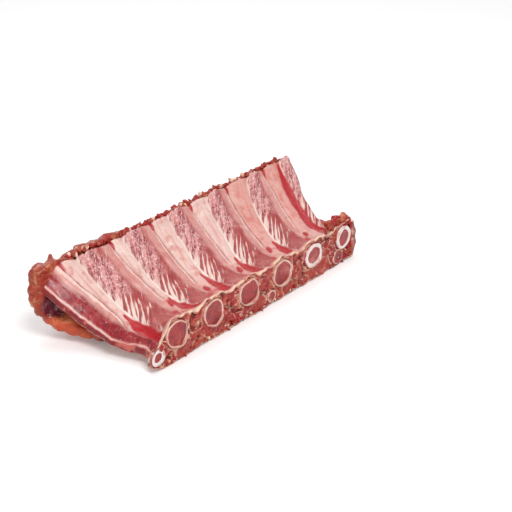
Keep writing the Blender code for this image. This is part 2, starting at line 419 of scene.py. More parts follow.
def blood_and_shade_marks(at, depth, wobble, clear):
    """Crescents beside the bare bone, notches at the rib tips and spots by the chine; the crescents
    lie in grooves and carry painted shade as well as blood.
    """
    stop = 0.46 + 0.04 * np.sin(at.number * 2.3) + 0.50 * smooth(5.4, 5.6, at.number)
    taper = smooth(stop + 0.02, stop - 0.25, depth)
    crescent = bump(at.distance, at.width - 2.1 + 0.4 * wobble, 1.2 + 2.9 * taper)
    crescent = crescent * smooth(0.02, 0.06, depth) * smooth(stop + 0.02, stop - 0.05, depth) * clear
    notch = bump(at.distance, 0.2, 1.9) * smooth(0.90, 0.985, depth) * clear
    spot = bump(at.distance, 1.5, 2.4) * bump(depth, 0.30 + 0.03 * np.sin(at.number * 4.0), 0.06)
    spot = np.maximum(spot, bump(at.muscle, 0.93, 0.10) * bump(depth, 0.17, 0.06)) * clear
    return crescent, notch, spot


def muscle_skins(at, depth, wobble, coarse, clear, fleshy):
    """Wet thin muscle, coloured with a painted sheen, the veil by the chine and the membrane beside
    the next rib.
    """
    drift = 0.10 * wobble + 0.08 * coarse - 0.20 * (at.muscle - 0.3)
    wet = smooth(0.52, 0.74, depth + drift) * smooth(0.0, 0.14, at.muscle)
    wet = wet * smooth(0.74, 0.54, at.muscle + 0.12 * wobble) * clear
    veil = smooth(0.30, 0.10, depth + 0.05 * wobble) * smooth(0.05, 0.35, at.muscle)
    edge = 0.62 + 0.20 * smooth(0.5, 0.2, depth)
    skin = smooth(edge, edge + 0.16, at.muscle + 0.08 * wobble + 0.04 * coarse) * fleshy
    return wet, veil, skin


def top_relief(shape, x, depth, points, from_left):
    """Swell of the muscles, ribs, grooves and wet skin, with the masks that colour them."""
    at = rib_lanes(depth, x)
    wobble = cloud(points, 9.0, 1.0)
    fine = cloud(points, 2.2, 2.0, 3)
    coarse = cloud(points, 22.0, 3.0)
    out = smooth(0.10, 0.26, depth)
    fleshy = 1.0 * (at.distance > at.width)
    strip = smooth(9.0, 7.0, from_left + 1.4 * wobble + 3.0 * smooth(0.45, 0.2, depth))
    clear = 1.0 - strip
    across = np.clip(at.distance / at.width, 0.0, 1.0)
    on_rib = smooth(-0.2, 0.7, at.distance) * smooth(0.6, -0.8, at.distance - at.width)
    arch = np.sqrt(np.clip(1.0 - (2.0 * across - 1.0) ** 2, 0.0, 1.0)) * on_rib
    swell = np.sin(np.pi * at.muscle ** 0.7) ** 1.2 * fleshy
    fold, ridge, cream = rib_lines(at, depth, wobble, clear)
    crescent, notch, spot = blood_and_shade_marks(at, depth, wobble, clear)
    wet, veil, skin = muscle_skins(at, depth, wobble, coarse, clear, fleshy)
    bundles = cloud(np.stack([at.distance * 0.30 - depth * 20.0, at.distance * 0.1 + depth * 7.0,
                              0.0 * depth + at.number * 9.0], -1), 1.0, 6.0, 2)
    open_muscle = fleshy * (1.0 - skin)
    relief = (shape.rib_rise / MM) * arch * out + (shape.swell / MM) * swell * out
    relief = relief - 1.0 * fold + 0.5 * ridge + 0.45 * cream * out
    relief = relief - (shape.groove / MM) * crescent - 0.8 * notch + 0.40 * wobble + 0.5 * coarse
    relief = relief + wet * 0.45 * fine + 0.12 * fine * open_muscle
    relief = relief + 0.35 * np.clip(bundles, -0.5, 0.7) * open_muscle
    furrow = bump(from_left, 7.5, 1.6)
    relief = relief * clear + strip * (0.6 * wobble + 0.35 * fine) - 0.7 * furrow * (depth > 0.1)
    band_pale = bump(from_left + 0.8 * wobble, 11.5, 2.0) * smooth(0.42, 0.6, depth)
    edge_line = bump(from_left + 1.4 * wobble, 6.5, 0.9) * smooth(0.5, 0.3, depth)
    last_rib = smooth(5.4, 5.6, at.number) * on_rib * bump(across, 1.0, 0.5)
    masks = {
        # fold: where the dark line of painted shade goes
        "fold": fold,
        # ridge: painted highlight beside each fold, with the real pale band and cream line of the
        # left strip
        "ridge": np.maximum(ridge, 0.9 * np.maximum(band_pale, edge_line)),
        "cream": cream,
        # blood: real blood, and painted shade in the crescent grooves
        "blood_and_shade": np.maximum(np.maximum(crescent, notch), 0.8 * spot),
        # wet: where the painted wet sheen goes, and the fine wet bumps
        "wet": wet,
        "veil": veil,
        "skin": skin,
        "flesh": smooth(-0.3, 0.8, at.distance - at.width) * smooth(0.02, 0.06, depth) * clear,
        "reach": at.muscle,
        "far": depth,
        "strip": strip * smooth(0.5, 1.4, from_left),
        "brink": smooth(0.9, 0.3, from_left + 0.5 * wobble),
        "warm": np.maximum(last_rib * smooth(0.55, 0.8, depth),
                           0.45 * smooth(4.4, 4.6, at.number) * smooth(0.15, 0.6, depth)),
        "lane": at.distance - at.width,
        "along": DEPTH * depth,
    }
    return relief, masks


def rim_offset(x):
    """The rim stands higher over each rib head and dips between them."""
    phase = 2.0 * np.pi * (x - HEAD_START) / HEAD_PITCH
    return 1.5 * np.cos(phase) + 0.7 * np.sin(2.3 * phase + 1.0) + 0.4 * np.sin(5.1 * phase)


# Smooth ovals low on the sawn face: centre along it, height, and their two radii
FACE_OVALS = (
    (-52.0, 5.0, 8.0, 6.0),
    (-26.0, 8.5, 7.0, 5.5),
    (20.0, 7.0, 9.5, 6.0),
    (54.0, 5.5, 6.5, 5.0),
    (94.0, 6.0, 8.0, 6.0),
)


def face_masks(points):
    """Smooth ovals, pale seams and dark pits between the sawn bones."""
    x, z = points[..., 0], points[..., 2]
    plane = points * np.array([1.0, 0.0, 1.0])
    wobble = cloud(plane, 5.0, 11.0)
    oval = np.zeros(x.shape)
    seam = np.zeros(x.shape)
    for cx, cz, rx, rz in FACE_OVALS:
        radial = np.hypot((x - cx) / rx, (z - cz) / rz) + 0.16 * wobble
        oval = np.maximum(oval, smooth(1.0, 0.85, radial))
        seam = np.maximum(seam, bump(radial, 1.04, 0.08))
    head = np.zeros(x.shape)
    for rib in range(1, RIB_COUNT + 1):
        cx = HEAD_START + HEAD_PITCH * rib
        radial = np.hypot((x - cx) / 9.8, (z - HEAD_HEIGHT) / 8.6) + 0.10 * wobble
        head = np.maximum(head, smooth(1.02, 0.92, radial))
        seam = np.maximum(seam, 0.9 * bump(radial, 1.13, 0.07))
    veins = np.abs(cloud(plane * np.array([0.7, 1.0, 1.0]), 6.0, 14.0, 2))
    seam = np.maximum(seam * smooth(-0.3, 0.2, cloud(plane, 7.0, 13.0)), smooth(0.05, 0.015, veins))
    seam = seam * (1.0 - oval) * (1.0 - head)
    pits = smooth(0.10, 0.40, cloud(plane, 4.6, 12.0, 3)) * (1.0 - oval) * (1.0 - head)
    return oval, seam, pits * (1.0 - seam), head


def slab_sections(shape, shares, depths):
    """Outline and heights of the slab over a grid of length shares and depths, and its masks."""
    grid_share, grid_depth = np.meshgrid(shares, depths, indexing="ij")
    left = left_edge(grid_depth)
    station = left + (right_edge(grid_depth) - left) * grid_share
    x = lengthwise(station, grid_depth)
    y = DEPTH * grid_depth
    top = upper_height(station, grid_depth)
    bottom = lower_height(station, grid_depth)
    points = np.stack([x, y, top], -1)
    from_left = x - lengthwise(left, grid_depth)
    from_right = lengthwise(right_edge(grid_depth), grid_depth) - x
    relief, masks = top_relief(shape, x, grid_depth, points, from_left)
    inner = smooth(0.0, 2.5, from_left) * smooth(0.0, 2.5, from_right)
    near = np.exp(-y / 6.0)
    top = top + relief * (1.0 - near) * inner + rim_offset(x) * near
    top = top - 1.3 * np.exp(-(y / 0.8) ** 2) - 0.9 * np.exp(-((DEPTH - y) / 1.2) ** 2)
    line = on_axis(depths * DEPTH, 1)
    x = x + 1.4 * cloud(line, 8.0, 4.0, 3)[None, :] * smooth(8.0, 0.0, from_left)
    x = x + 0.9 * cloud(line, 11.0, 4.5, 3)[None, :] * smooth(8.0, 0.0, from_right)
    ragged_far = cloud(on_axis(x[:, -1]), 6.0, 5.0, 3)[:, None]
    y = y + (1.0 * ragged_far - 0.9) * smooth(0.94, 1.0, grid_depth)
    low_ragged = np.clip(1.0 + 1.8 * cloud(on_axis(x[:, 0]), 9.0, 6.0, 3), 0.0, 3.5)[:, None]
    bottom = np.maximum(bottom, low_ragged * smooth(0.10, 0.0, grid_depth))
    left_lift = np.maximum(3.5 + 16.0 * (grid_depth - 0.15), top - 5.5)
    thin = smooth(13.0, 1.0, from_left) * smooth(0.08, 0.2, grid_depth)
    bottom = bottom + np.maximum(left_lift - bottom, 0.0) * thin
    tongue = 4.0 * smooth(1.35, 0.65, station) * smooth(0.85, 1.0, grid_depth)
    top = np.maximum(top, bottom + 2.0) + 0.55 * tongue
    masks["rim"] = np.exp(-((y + tongue) / 1.5) ** 2)
    return x, y + tongue, top, bottom + 0.55 * tongue, masks


def wrap_rows(x, y, top, bottom):
    """Rows up the sawn face, over the bone side, down the rib tips and back underneath."""
    rise = np.linspace(0.0, 1.0, FACE_ROWS + 2)[1:-1]
    fall = np.linspace(0.0, 1.0, EDGE_ROWS + 2)[1:-1]
    face = np.zeros((len(x), FACE_ROWS, 3))
    face[..., 0] = x[:, :1]
    face[..., 2] = bottom[:, :1] + (top[:, :1] - bottom[:, :1]) * rise
    edge = np.zeros((len(x), EDGE_ROWS, 3))
    edge[..., 0] = x[:, -1:]
    edge[..., 1] = y[:, -1:] + 0.6 * np.sin(np.pi * fall)
    edge[..., 2] = top[:, -1:] + (bottom[:, -1:] - top[:, -1:]) * fall
    return face, np.stack([x, y, top], -1), edge, np.stack([x, y, bottom], -1)[:, ::-1]


def shape_face(face, top):
    """Roughen the sawn face in place; returns the masks that colour it."""
    oval, seam, pits, head = face_masks(face)
    corner = smooth(-70.0, -82.0, face[..., 0])
    lift = 1.0 - smooth(0.0, 1.8, top[:, :1] - face[..., 2])
    dent = 0.8 - 1.2 * oval + 2.6 * pits + 1.1 * cloud(face, 2.6, 9.0, 3) + 0.3 * head
    dent = dent + 1.8 * cloud(face, 8.0, 9.5, 2) * (1.0 - head) - 0.8 * seam
    face[..., 1] = (0.6 + 0.7 * np.clip(dent, -1.8, 3.5)) * (1.0 - lift) + 1.5 * corner
    return {"face": 1.0, "oval": oval, "seam": seam, "pit": pits, "rim": 0.9 * lift}


def end_cap(verts, index, spans, column, outward, depths, start):
    """Bulging rows that close one cut end: their points and faces."""
    over, tips, under = spans
    upper = verts[column, over:tips]
    lower = verts[column, under:][::-1]
    near_corner = 1.0 + 2.6 * np.exp(-depths * DEPTH / 14.0) * (outward > 0.0)
    points = []
    rows = [index[column, over:tips]]
    for row in range(1, CAP_ROWS + 1):
        share = row / (CAP_ROWS + 1)
        line = upper + (lower - upper) * share
        swell = 0.9 * math.sin(math.pi * share) + 0.6 * cloud(line, 4.0, 17.0, 2)
        points.append(line + on_axis(outward * swell * near_corner))
        rows.append(start + (row - 1) * len(depths) + np.arange(len(depths)))
    rows.append(index[column, under:][::-1])
    faces = []
    for first, second in zip(rows[:-1], rows[1:]):
        faces.extend(np.stack([first[:-1], first[1:], second[1:], second[:-1]], -1).tolist())
    faces.append([int(rows[-1][0]), *index[column, :over].tolist(), *(int(r[0]) for r in rows[:-1])])
    faces.append([*(int(r[-1]) for r in rows[-2::-1]), *index[column, tips:under].tolist(),
                  int(rows[-1][-1])])
    if outward > 0.0:
        faces = [face[::-1] for face in faces]
    return np.concatenate(points), faces


def make_slab(shape):
    """Closed slab: chine face, bone side, rib-tip edge and underside, wrapped column by column."""
    depths = np.linspace(0.0, 1.0, shape.rows)
    x, y, top, bottom, masks = slab_sections(shape, np.linspace(0.0, 1.0, shape.columns), depths)
    face, upper, edge, lower = wrap_rows(x, y, top, bottom)
    face_values = shape_face(face, top)
    verts = np.concatenate([face, upper, edge, lower], 1)
    over, tips, under = spans = np.cumsum([FACE_ROWS, shape.rows, EDGE_ROWS])
    values = defaultdict(lambda: np.zeros(verts.shape[:2]))
    for start, end, grids in ((0, over, face_values), (over, tips, masks),
                              (tips, under, {"tip": 1.0}), (under, None, {"under": 1.0}),
                              (0, None, {"side": 0.0})):
        for name, grid in grids.items():
            values[name][:, start:end] = grid
    index = np.arange(verts[..., 0].size).reshape(verts.shape[:2])
    ring = np.roll(index, -1, axis=1)
    faces = np.stack([index[:-1], index[1:], ring[1:], ring[:-1]], -1).reshape(-1, 4).tolist()
    parts = [verts.reshape(-1, 3)]
    for column, outward in ((0, -1.0), (-1, 1.0)):
        points, caps = end_cap(verts, index, spans, column, outward, depths, sum(map(len, parts)))
        parts.append(points)
        faces.extend(caps)
    points = np.concatenate(parts)
    piece = make_object("rib_slab", points, faces)
    for name, grid in values.items():
        values[name] = np.append(grid, np.full(len(points) - index.size, 1.0 * (name == "side")))
    lane, along = values.pop("lane"), values.pop("along")
    for name, grid in values.items():
        add_mask(piece, name, grid)
    slant = math.radians(38.0)
    grain = np.stack([math.cos(slant) * lane - math.sin(slant) * along,
                      math.cos(slant) * along + math.sin(slant) * lane, 0.0 * lane], -1)
    add_mask(piece, "grain", grain, "FLOAT_VECTOR")
    add_mask(piece, "lane", np.stack([lane, along, 0.0 * lane], -1), "FLOAT_VECTOR")
    tidy_mesh(piece)
    return piece


def tidy_mesh(piece):
    """Turn every face outwards and cut the long end faces into triangles."""
    work = bmesh.new()
    work.from_mesh(piece.data)
    bmesh.ops.recalc_face_normals(work, faces=work.faces[:])
    long_faces = [face for face in work.faces if len(face.verts) > 4]
    bmesh.ops.triangulate(work, faces=long_faces)
    work.to_mesh(piece.data)
    work.free()
    piece.data.update()


# Sawn bones --------------------------------------------------------------------

class Geo:
    """Small helper that adds and joins geometry nodes in one tree."""

    def __init__(self, name, inputs):
        self.tree = bpy.data.node_groups.new(name, "GeometryNodeTree")
        self.ids = {}
        kinds = {"geometry": "NodeSocketGeometry", "float": "NodeSocketFloat",
                 "int": "NodeSocketInt", "vector": "NodeSocketVector",
                 "material": "NodeSocketMaterial"}
        face = self.tree.interface
        for label, kind in (("Geometry", "geometry"), *inputs):
            made = face.new_socket(label, in_out="INPUT", socket_type=kinds[kind])
            self.ids[label] = made.identifier
        face.new_socket("Geometry", in_out="OUTPUT", socket_type=kinds["geometry"])
        self.inlet = self.tree.nodes.new("NodeGroupInput")
        self.outlet = self.tree.nodes.new("NodeGroupOutput")

    def take(self, label):
        return self.inlet.outputs[label]

    def node(self, kind, inputs=None, **settings):
        made = self.tree.nodes.new(kind)
        for key, value in settings.items():
            setattr(made, key, value)
        for key, value in (inputs or {}).items():
            self.put(made.inputs[key], value)
        return made

    def put(self, socket, value):
        if isinstance(value, bpy.types.NodeSocket):
            self.tree.links.new(value, socket)
        else:
            socket.default_value = value

    def add(self, kind, inputs=None, **settings):
        """Add a node and pass on its first output."""
        return self.node(kind, inputs, **settings).outputs[0]

    def math(self, operation, first, second=0.0):
        return self.add("ShaderNodeMath", {0: first, 1: second}, operation=operation)

    def vector(self, operation, first, second):
        return self.add("ShaderNodeVectorMath", {0: first, 1: second}, operation=operation)

    def scaled(self, vector, factor):
        return self.add("ShaderNodeVectorMath", {0: vector, "Scale": factor}, operation="SCALE")

    def joined(self, x, y, z):
        return self.add("ShaderNodeCombineXYZ", {0: x, 1: y, 2: z})

    def position(self):
        return self.add("GeometryNodeInputPosition")

    def moved(self, geometry, **targets):
        return self.add("GeometryNodeSetPosition", {"Geometry": geometry, **targets})

    def stored(self, geometry, name, value, domain="POINT"):
        return self.add("GeometryNodeStoreNamedAttribute",
                        {"Geometry": geometry, "Name": name, "Value": value},
                        data_type="FLOAT", domain=domain)

    def chance(self, low, high):
        """Random vector between two others, drawn with the tree's seed."""
        return self.add("FunctionNodeRandomValue", {0: low, 1: high, "Seed": self.take("Seed")},
                        data_type="FLOAT_VECTOR")

    def ripple(self, vector, scale):
        """Noise vector around zero."""
        wave = self.node("ShaderNodeTexNoise", {"Vector": vector, "Scale": scale, "Detail": 2.0})
        return self.vector("SUBTRACT", wave.outputs["Color"], (0.5, 0.5, 0.5))

    def finish(self, geometry):
        smoothed = self.add("GeometryNodeSetShadeSmooth", {"Geometry": geometry})
        real = self.add("GeometryNodeRealizeInstances", {"Geometry": smoothed})
        done = self.add("GeometryNodeSetMaterial",
                        {"Geometry": real, "Material": self.take("Material")})
        self.put(self.outlet.inputs[0], done)
        return self.tree, self.ids


def bone_tree():
    """A bone along its path: an uneven tube closed by a sawn disc whose points know their radius."""
    geo = Geo("sawn_bone", (("Sides", "int"), ("Radius", "float"), ("Squash", "float"),
                            ("Unevenness", "float"), ("Seed", "float"), ("Head", "vector"),
                            ("Material", "material")))
    sides, radius, head = geo.take("Sides"), geo.take("Radius"), geo.take("Head")
    path = geo.add("GeometryNodeMeshToCurve", {"Mesh": geo.take("Geometry")})
    girth = geo.add("GeometryNodeInputNamedAttribute", {"Name": "girth"}, data_type="FLOAT")
    sized = geo.add("GeometryNodeSetCurveRadius",
                    {"Curve": path, "Radius": geo.math("MULTIPLY", girth, radius)})
    level = geo.add("GeometryNodeSetCurveNormal", {"Curve": sized}, mode="Z_UP")
    circle = geo.add("GeometryNodeCurvePrimitiveCircle", {"Resolution": sides, "Radius": 1.0})
    tube = geo.add("GeometryNodeCurveToMesh",
                   {"Curve": level, "Profile Curve": circle, "Fill Caps": False,
                    "Scale": geo.add("GeometryNodeInputRadius")})
    grid = geo.add("GeometryNodeMeshGrid", {"Size X": 1.0, "Size Y": 1.0, "Vertices X": 14,
                                            "Vertices Y": geo.math("ADD", sides, 1.0)})
    parts = geo.node("ShaderNodeSeparateXYZ", {0: geo.position()})
    share = geo.math("ADD", parts.outputs[0], 0.5)
    turn = geo.math("MULTIPLY", geo.math("ADD", parts.outputs[1], 0.5), 2.0 * math.pi)
    across, upward = (geo.math("MULTIPLY", geo.math("MULTIPLY", share, geo.math(wave, turn)), radius)
                      for wave in ("COSINE", "SINE"))
    disc = geo.moved(geo.stored(grid, "radial", share),
                     Position=geo.vector("ADD", geo.joined(across, 0.0, upward), head))
    both = geo.node("GeometryNodeJoinGeometry")
    geo.put(both.inputs[0], disc)
    geo.put(both.inputs[0], geo.stored(tube, "radial", 1.0))
    merged = geo.add("GeometryNodeMergeByDistance",
                     {"Geometry": both.outputs[0], "Distance": MERGE_GAP * MM})
    seed, uneven = geo.take("Seed"), geo.take("Unevenness")
    drift = geo.ripple(geo.vector("ADD", geo.position(), geo.joined(seed, 0.0, seed)), 95.0)
    rough = geo.moved(merged, Offset=geo.vector("MULTIPLY", drift, geo.joined(uneven, 0.0, uneven)))
    from_head = geo.vector("SUBTRACT", geo.position(), head)
    flat = geo.vector("MULTIPLY", from_head, geo.joined(1.0, 1.0, geo.take("Squash")))
    return geo.finish(geo.moved(rough, Position=geo.vector("ADD", head, flat)))


def head_place(number):
    """Centre of a sawn rib head on the chine face."""
    if number == 1:
        return np.array(KNUCKLE_PLACE)
    return np.array([HEAD_START + HEAD_PITCH * (number - 1), 0.3, HEAD_HEIGHT])


def bone_path(number):
    """Path of a rib from its sawn head to its tip, just under the skin."""
    depth = np.linspace(0.04, 0.985, 30)
    head = head_place(number)
    flat = smooth(0.0, 0.30, depth)
    veer = smooth(0.0, 0.45, depth)
    lane = rib_edge(number, depth) + 6.0
    x = head[0] + (lane - head[0]) * veer
    if number == 1:
        x = x + 3.0 * smooth(0.0, 0.08, depth) * smooth(0.5, 0.2, depth)
    surface = upper_height(np.maximum(number + 0.2, 1.3) + 0.0 * depth, depth)
    dip = HEAD_DIP * np.sin(np.pi * np.minimum(depth / 0.36, 1.0))
    z = head[2] + (surface - RIB_SINK - head[2]) * flat - dip
    own_station = number + (x - lengthwise(float(number), depth)) / PITCH_NEAR
    cover_height = upper_height(np.maximum(own_station, left_edge(depth)), depth)
    slim, neck = (0.2, 0.07) if number == 1 else (0.4, 0.22)
    girth = 1.0 + (slim - 1.0) * smooth(0.0, neck, depth)
    z = np.minimum(z, cover_height - HEAD_RADII[number - 1] * girth - 1.6)
    points = np.stack([x, DEPTH * depth, z], -1)
    start = np.stack([head, head + np.array([0.0, 1.2, 0.0])])
    return np.concatenate([start, points]), np.concatenate([[1.0, 1.0], girth])


def short_path(x, z):
    """Path of a short bone that shows only as a sawn round."""
    head = np.array([x, 0.3, z])
    points = np.stack([head + np.array([0.0, step, 0.0]) for step in (0.0, 1.2, 5.0, 9.0)])
    return points, np.array([1.0, 1.0, 0.9, 0.3])


def harvest(guide, name):
    """Plain mesh piece from a guide's evaluated modifiers; the guide is removed."""
    bpy.context.view_layer.update()
    graph = bpy.context.evaluated_depsgraph_get()
    mesh = bpy.data.meshes.new_from_object(guide.evaluated_get(graph))
    mesh.name = name
    write_points(mesh, read_points(mesh))
    piece = bpy.data.objects.new(name, mesh)
    bpy.context.scene.collection.objects.link(piece)
    bpy.data.objects.remove(guide, do_unlink=True)
    return piece


def grow(name, tree, ids, path, values, girth=None):
    """Run a geometry tree on a path with the given inputs; returns the plain piece."""
    guide = make_object(name + "_path", path, [], [(i, i + 1) for i in range(len(path) - 1)])
    if girth is not None:
        add_mask(guide, "girth", girth)
    maker = guide.modifiers.new("grow", "NODES")
    maker.node_group = tree
    for label, value in values.items():
        maker[ids[label]] = value
    return harvest(guide, name)


def bone_sizes():
    """Each bone: node, path, girth, radius, squash, unevenness, seed, ring width and whiteness."""
    for number in range(1, RIB_COUNT + 1):
        yield (f"rib_bone_{number}", *bone_path(number), HEAD_RADII[number - 1], 0.88, 4.2,
               number * 0.37, RING_WIDTHS[number - 1], number in (1, RIB_COUNT))
    for node, x, z, radius, squash, ring, seed in SHORT_BONES:
        yield (node, *short_path(x, z), radius, squash, 3.0, seed, ring, node == "rib_head_7")


def make_bones(colours, groups):
    """Sawn ribs, the last rib head and the small chine bones, each with its CAD node."""
    tree, ids = bone_tree()
    for node, path, girth, radius, squash, uneven, seed, ring, white in bone_sizes():
        name = node + "_sawn"
        wall = colours.ring_white if white else colours.ring
        material = bone_material(colours, groups, name, ring, wall)
        head = tuple((path[0] - SHIFT) * MM)
        yield node, grow(name, tree, ids, path, {
            "Sides": BONE_SIDES, "Radius": radius * MM, "Squash": squash,
            "Unevenness": uneven * MM, "Seed": seed, "Head": head, "Material": material}, girth)


# Ragged scraps -----------------------------------------------------------------

def scrap_tree():
    """Small torn lumps strewn along a line, each turned, stretched and toned at random."""
    geo = Geo("torn_scraps", (("Count", "int"), ("Size", "float"), ("Spread", "vector"),
                              ("Seed", "int"), ("Material", "material")))
    count, size, spread = geo.take("Count"), geo.take("Size"), geo.take("Spread")
    path = geo.add("GeometryNodeMeshToCurve", {"Mesh": geo.take("Geometry")})
    line = geo.add("GeometryNodeResampleCurve", {"Curve": path, "Count": count})
    points = geo.add("GeometryNodeCurveToPoints", {"Curve": line, "Count": count})
    stray = geo.chance(geo.vector("MULTIPLY", spread, (-1.0, -1.0, -1.0)), spread)
    placed = geo.add("GeometryNodeInstanceOnPoints", {
        "Points": geo.moved(points, Offset=stray),
        "Instance": geo.add("GeometryNodeMeshIcoSphere", {"Radius": 1.0, "Subdivisions": 2}),
        "Rotation": geo.chance((-3.1, -3.1, -3.1), (3.1, 3.1, 3.1)),
        "Scale": geo.scaled(geo.chance((0.45, 0.3, 0.25), (1.5, 0.8, 0.6)), size)})
    tone = geo.node("FunctionNodeRandomValue", {"Seed": geo.take("Seed")}, data_type="FLOAT")
    real = geo.add("GeometryNodeRealizeInstances",
                   {"Geometry": geo.stored(placed, "tone", tone.outputs[1], "INSTANCE")})
    return geo.finish(geo.moved(real, Offset=geo.scaled(geo.ripple(geo.position(), 420.0), size)))


def scrap_lines():
    """Lines that the scraps follow: name, points, count, size share, spread and seed."""
    along = np.linspace(-72.0, 128.0, 40)
    bottom = on_axis(along) + np.array([0.0, 1.6, 1.6])
    station = np.linspace(1.2, 6.6, 50)
    far = np.stack([lengthwise(station, 1.0), 0.0 * station + DEPTH + 1.6,
                    0.0 * station + FAR_HEIGHT - 0.9 + 2.4 * smooth(3.2, 1.4, station)], -1)
    corner = np.array([(104.0, 3.5, 27.6), (112.0, 3.0, 28.8), (120.0, 3.0, 28.6),
                       (128.0, 2.5, 26.2)])
    lower = np.array([(118.0, 1.5, 5.0), (126.0, 1.8, 9.0), (131.0, 2.5, 12.0),
                      (133.0, 3.0, 15.0)])
    return (
        ("chine_fringe", bottom, 110, 1.3, (1.5, 0.7, 0.8), 3),
        ("far_fringe", far, 220, 1.5, (1.5, 1.6, 0.5), 8),
        ("corner_scraps", corner, 36, 2.2, (2.0, 1.8, 1.8), 5),
        ("end_scraps", lower, 30, 1.7, (2.4, 1.2, 2.4), 12),
    )


def make_scraps(shape, material):
    """Torn scraps along the chine, the rib tips and the right corner."""
    tree, ids = scrap_tree()
    for name, path, count, share, spread, seed in scrap_lines():
        yield grow(name, tree, ids, path, {
            "Count": count, "Size": shape.scrap * share,
            "Spread": tuple(part * MM for part in spread), "Seed": seed, "Material": material})


# Outer cover -----------------------------------------------------------------

def cover_body():
    """Sheet of outer meat and fat under the slab that rolls up past the rib tips."""
    shares = np.linspace(0.0, 1.0, 150)
    under = np.linspace(0.42, 1.0, 20)
    past = np.linspace(0.0, 1.0, 10)[1:]
    columns = np.concatenate([under, 1.0 + past * 0.12])
    share, depth = np.meshgrid(shares, columns, indexing="ij")
    first = 0.98 + (0.50 - 0.98) * smooth(0.93, 1.0, depth)
    last = right_edge(np.minimum(depth, 1.0)) - 0.10
    station = first + (last - first) * share
    x = lengthwise(station, np.minimum(depth, 1.0))
    roll = np.clip((depth - 1.0) / 0.12, 0.0, 1.0)
    fade = 1.0 - 0.5 * smooth(1.5, 4.0, station)
    line = on_axis(x)
    ragged = cloud(line, 9.0, 21.0, 3)
    y = np.minimum(depth, 1.0) * DEPTH + roll * (9.6 * fade + 2.0 * ragged)
    level = FAR_HEIGHT - 0.4 + 2.6 * smooth(3.2, 1.4, station) + 2.0 * cloud(line, 14.0, 22.0, 3)
    edge_top = level - 3.5 * roll ** 3
    slab_low = lower_height(np.maximum(station, left_edge(depth)), np.minimum(depth, 1.0))
    tuck = slab_low - 1.0 - 2.0 * smooth(1.5, 1.1, station)
    top = np.where(depth > 1.001, edge_top, tuck)
    rise = smooth(0.61, 1.0, depth)
    base = upper_height(station, np.ones(x.shape)) - SLAB_THICKNESS - 8.0
    corner = smooth(1.35, 0.75, station)
    hang = 5.0 + 17.0 * smooth(0.84, 1.08, depth)
    bottom = rise * (base * (1.0 - corner) + hang * corner)
    bottom = np.minimum(bottom, top - 2.5)
    count = len(columns)
    upper = np.stack([x, y, top], -1).reshape(-1, 3)
    lower = np.stack([x, y, bottom], -1).reshape(-1, 3)
    index = np.arange(len(shares) * count).reshape(len(shares), count)
    low = index + index.size
    faces = np.stack([index[:-1, :-1], index[1:, :-1], index[1:, 1:], index[:-1, 1:]], -1)
    faces = faces.reshape(-1, 4).tolist()
    under_faces = np.stack([low[:-1, :-1], low[:-1, 1:], low[1:, 1:], low[1:, :-1]], -1)
    faces += under_faces.reshape(-1, 4).tolist()
    ring = np.concatenate([index[:, 0], index[-1, 1:], index[-2::-1, -1], index[0, -2:0:-1]])
    after = np.roll(ring, -1)
    faces += np.stack([after, ring, ring + index.size, after + index.size], -1).tolist()
    return np.concatenate([upper, lower]), faces


# Lumps of the left far corner, as centre and radii: knob, spike, roll, flap, lobes and pocket
COVER_LUMPS = (
    ((-82.0, 85.0, 44.5), (4.6, 3.4, 4.0)),
    ((-70.0, 86.0, 45.0), (1.6, 1.8, 4.6)),
    ((-83.0, 84.0, 39.0), (4.5, 4.0, 5.0)),
    ((-87.0, 84.0, 33.0), (4.0, 4.0, 5.0)),
    ((-88.0, 83.0, 26.5), (3.8, 4.0, 5.0)),
    ((-85.0, 81.5, 20.5), (4.0, 4.5, 4.4)),
    ((-81.0, 79.0, 14.5), (4.4, 5.0, 4.4)),
    ((-77.0, 74.0, 10.5), (5.5, 6.0, 5.0)),
    ((-74.0, 67.0, 8.8), (5.4, 6.5, 5.2)),
    ((-71.5, 59.0, 7.0), (4.6, 6.0, 4.4)),
    ((-68.0, 51.0, 5.2), (4.0, 5.0, 3.2)),
    ((-71.0, 77.0, 21.0), (9.0, 7.0, 7.0)),
    ((-69.0, 69.0, 12.0), (9.0, 8.0, 5.5)),
    ((-66.0, 60.0, 7.5), (8.0, 8.0, 4.5)),
    ((-44.0, 86.0, 44.0), (6.0, 2.6, 3.6)),
    ((-20.0, 86.0, 43.0), (9.0, 2.4, 3.0)),
)


def near_ball(points, centre, radii):
    """Soft mask: 1 at a centre and fading over its radii."""
    return np.exp(-(((points - np.array(centre)) / np.array(radii)) ** 2).sum(1))


